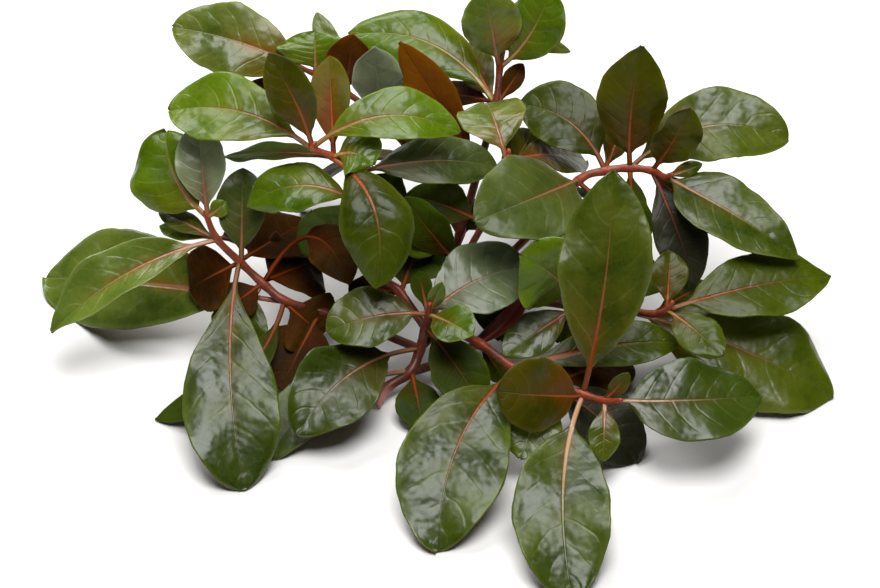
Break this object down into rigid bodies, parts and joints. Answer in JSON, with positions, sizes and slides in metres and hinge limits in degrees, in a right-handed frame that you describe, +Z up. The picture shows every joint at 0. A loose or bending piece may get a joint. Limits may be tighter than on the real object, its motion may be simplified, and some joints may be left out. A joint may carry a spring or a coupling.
{
  "type": "aquarium plant",
  "caption": "Low creeping clump of a red-stemmed aquarium stem plant, with branching stems and opposite glossy oval leaves.",
  "frame": {"origin": "on the surface that the clump lies on, under the middle of its bounding box", "axes": "+X to the right in the picture, +Y away from the camera, +Z up"},
  "size_m": [0.164, 0.1288, 0.0645],
  "materials": {
    "stem": "smooth fleshy red-brown plant stem with small young leaves",
    "leaf": "glossy green leaf, rust-coloured beneath"
  },
  "bodies": {
    "root": {"main_stem": "stem", "west_stem": "stem", "northwest_stem": "stem", "north_stem": "stem", "back_stem": "stem", "inner_stem": "stem", "northeast_stem": "stem", "east_stem": "stem", "front_stem": "stem", "nw_left_leaf": "leaf", "nw_right_leaf": "leaf", "nw_upright_leaf": "leaf", "nw_front_leaf": "leaf", "nw_small_leaf": "leaf", "nw_edge_leaf": "leaf", "nw_low_left_leaf": "leaf", "nw_low_right_leaf": "leaf", "back_left_leaf": "leaf", "back_top_leaf": "leaf", "north_arch_leaf": "leaf", "north_rust_leaf": "leaf", "north_top_left_leaf": "leaf", "north_top_right_leaf": "leaf", "back_low_left_leaf": "leaf", "back_low_right_leaf": "leaf", "inner_top_leaf": "leaf", "inner_low_leaf": "leaf", "inner_left_leaf": "leaf", "ne_round_leaf": "leaf", "ne_back_leaf": "leaf", "ne_upright_leaf": "leaf", "ne_small_upright_leaf": "leaf", "ne_far_right_leaf": "leaf", "ne_right_leaf": "leaf", "centre_right_leaf": "leaf", "centre_left_leaf": "leaf", "centre_small_leaf": "leaf", "centre_front_leaf": "leaf", "centre_low_left_leaf": "leaf", "centre_floor_left_leaf": "leaf", "west_upright_leaf": "leaf", "west_back_leaf": "leaf", "west_far_leaf": "leaf", "west_wide_leaf": "leaf", "west_front_leaf": "leaf", "west_inner_leaf": "leaf", "west_right_leaf": "leaf", "west_shade_leaf": "leaf", "west_floor_leaf": "leaf", "east_far_leaf": "leaf", "east_low_leaf": "leaf", "east_left_leaf": "leaf", "front_standing_leaf": "leaf", "front_left_leaf": "leaf", "front_long_leaf": "leaf", "front_olive_leaf": "leaf", "front_middle_leaf": "leaf", "front_right_leaf": "leaf", "front_floor_leaf": "leaf"}
  },
  "joints": []
}
